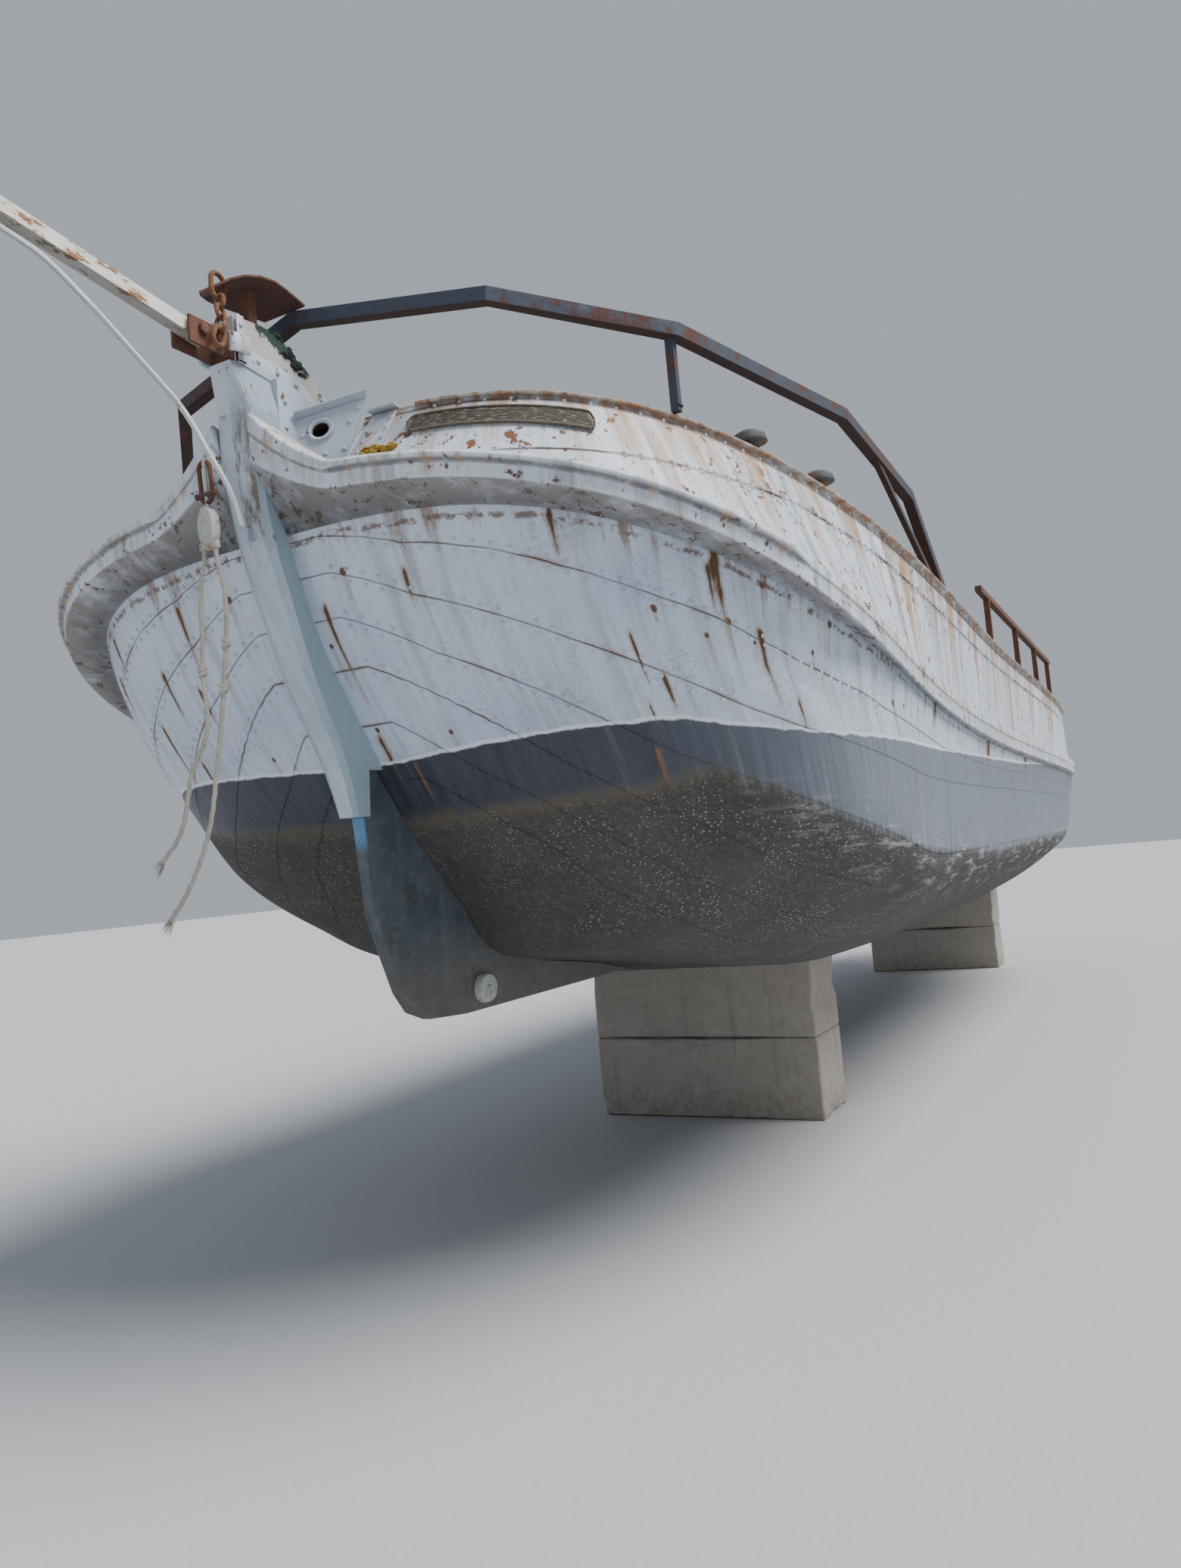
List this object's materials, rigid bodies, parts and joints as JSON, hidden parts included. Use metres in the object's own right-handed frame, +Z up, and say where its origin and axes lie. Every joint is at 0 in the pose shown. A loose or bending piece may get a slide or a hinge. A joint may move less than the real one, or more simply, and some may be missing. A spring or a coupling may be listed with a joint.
{
  "type": "steel sailing barge laid up on concrete blocks",
  "caption": "Round-bowed steel sailing barge with bowsprit, bulwarks, hold and deckhouse, standing ashore on two stacks of concrete blocks.",
  "frame": {"origin": "on the ground under the middle of the whole length and breadth", "axes": "+X towards the bow, +Y to port, +Z up"},
  "size_m": [19.5495, 4.238, 4.529],
  "materials": {
    "hull_paint": "weathered paint over riveted plate",
    "white_paint": "weathered white paint with rust runs",
    "fin_paint": "worn dark teal antifouling",
    "rail_paint": "chipped dark blue paint over red primer",
    "rust": "bare rusted steel",
    "concrete": "cast concrete",
    "wood": "weathered timber",
    "deck_paint": "faded non-slip deck paint",
    "rope": "frayed laid rope",
    "zinc": "chalky cast zinc",
    "bronze": "dull bronze",
    "galvanised": "dull galvanised steel"
  },
  "bodies": {
    "barge": {"hull": "hull_paint", "skeg": "hull_paint", "bow_fin": "fin_paint", "wale_port": "white_paint", "wale_starboard": "white_paint", "bulwark_port": "white_paint", "bulwark_starboard": "white_paint", "hawse_plate_port": "white_paint", "hawse_plate_starboard": "white_paint", "nameboard_port": "wood", "nameboard_starboard": "wood", "stem": "white_paint", "stem_head": "white_paint", "stem_cap": "wood", "fin_anode_port": "zinc", "fin_anode_starboard": "zinc", "bow_rail_port": "rail_paint", "bow_rail_starboard": "rail_paint", "nose_plate": "rust", "aft_rail_port": "rust", "aft_rail_starboard": "rust", "bowsprit_bracket": "rust", "rope_block": "zinc", "rope_tail_short": "rope", "rope_tail_long": "rope", "fore_cap_bitt_port": "zinc", "fore_cap_bitt_starboard": "zinc", "after_cap_bitt_port": "zinc", "after_cap_bitt_starboard": "zinc", "windlass_frame": "galvanised", "hatch_coaming": "white_paint", "tabernacle": "white_paint", "hold_coaming": "white_paint", "hold_roof": "deck_paint", "deckhouse_walls": "white_paint", "deckhouse_roof": "deck_paint", "fore_bollard_port": "galvanised", "fore_bollard_starboard": "galvanised", "aft_bollard_port": "galvanised", "aft_bollard_starboard": "galvanised", "bow_block_lower": "concrete", "bow_block_upper": "concrete", "stern_block_lower": "concrete", "stern_block_upper": "concrete"},
    "steering": {"rudder": "hull_paint", "tiller": "wood"},
    "propeller": {"propeller": "bronze"},
    "bowsprit": {"bowsprit": "white_paint", "bobstay": "white_paint"},
    "windlass_drum": {"windlass_drum": "galvanised"},
    "hatch_lid": {"hatch_lid": "deck_paint"},
    "companion_slide": {"companion_slide": "deck_paint"},
    "companion_door_port": {"companion_door_port": "wood"},
    "companion_door_starboard": {"companion_door_starboard": "wood"}
  },
  "joints": [
    {"name": "rudder_turn", "type": "hinge", "parent": "barge", "child": "steering", "pos_m": [-8.925, 0, 1.34], "axis": [0, 0, 1], "range_deg": [-35, 35]},
    {"name": "propeller_spin", "type": "hinge", "parent": "barge", "child": "propeller", "pos_m": [-8.205, 0, 1.72], "axis": [1, 0, 0], "continuous": true},
    {"name": "bowsprit_lift", "type": "hinge", "parent": "barge", "child": "bowsprit", "pos_m": [7.995, 0, 4.21], "axis": [0, -1, 0], "range_deg": [0, 60]},
    {"name": "windlass_turn", "type": "hinge", "parent": "barge", "child": "windlass_drum", "pos_m": [5.725, 0, 3.42], "axis": [0, 1, 0], "continuous": true},
    {"name": "hatch_lid_swing", "type": "hinge", "parent": "barge", "child": "hatch_lid", "pos_m": [4.285, 0, 3.1204], "axis": [0, -1, 0], "range_deg": [0, 100]},
    {"name": "companion_slide_travel", "type": "slide", "parent": "barge", "child": "companion_slide", "axis": [1, 0, 0], "range_m": [0, 0.78]},
    {"name": "companion_door_port_swing", "type": "hinge", "parent": "barge", "child": "companion_door_port", "pos_m": [-5.175, 0.3296, 3.2], "axis": [0, 0, -1], "range_deg": [0, 110]},
    {"name": "companion_door_starboard_swing", "type": "hinge", "parent": "barge", "child": "companion_door_starboard", "pos_m": [-5.175, -0.3296, 3.2], "axis": [0, 0, 1], "range_deg": [0, 110]}
  ]
}
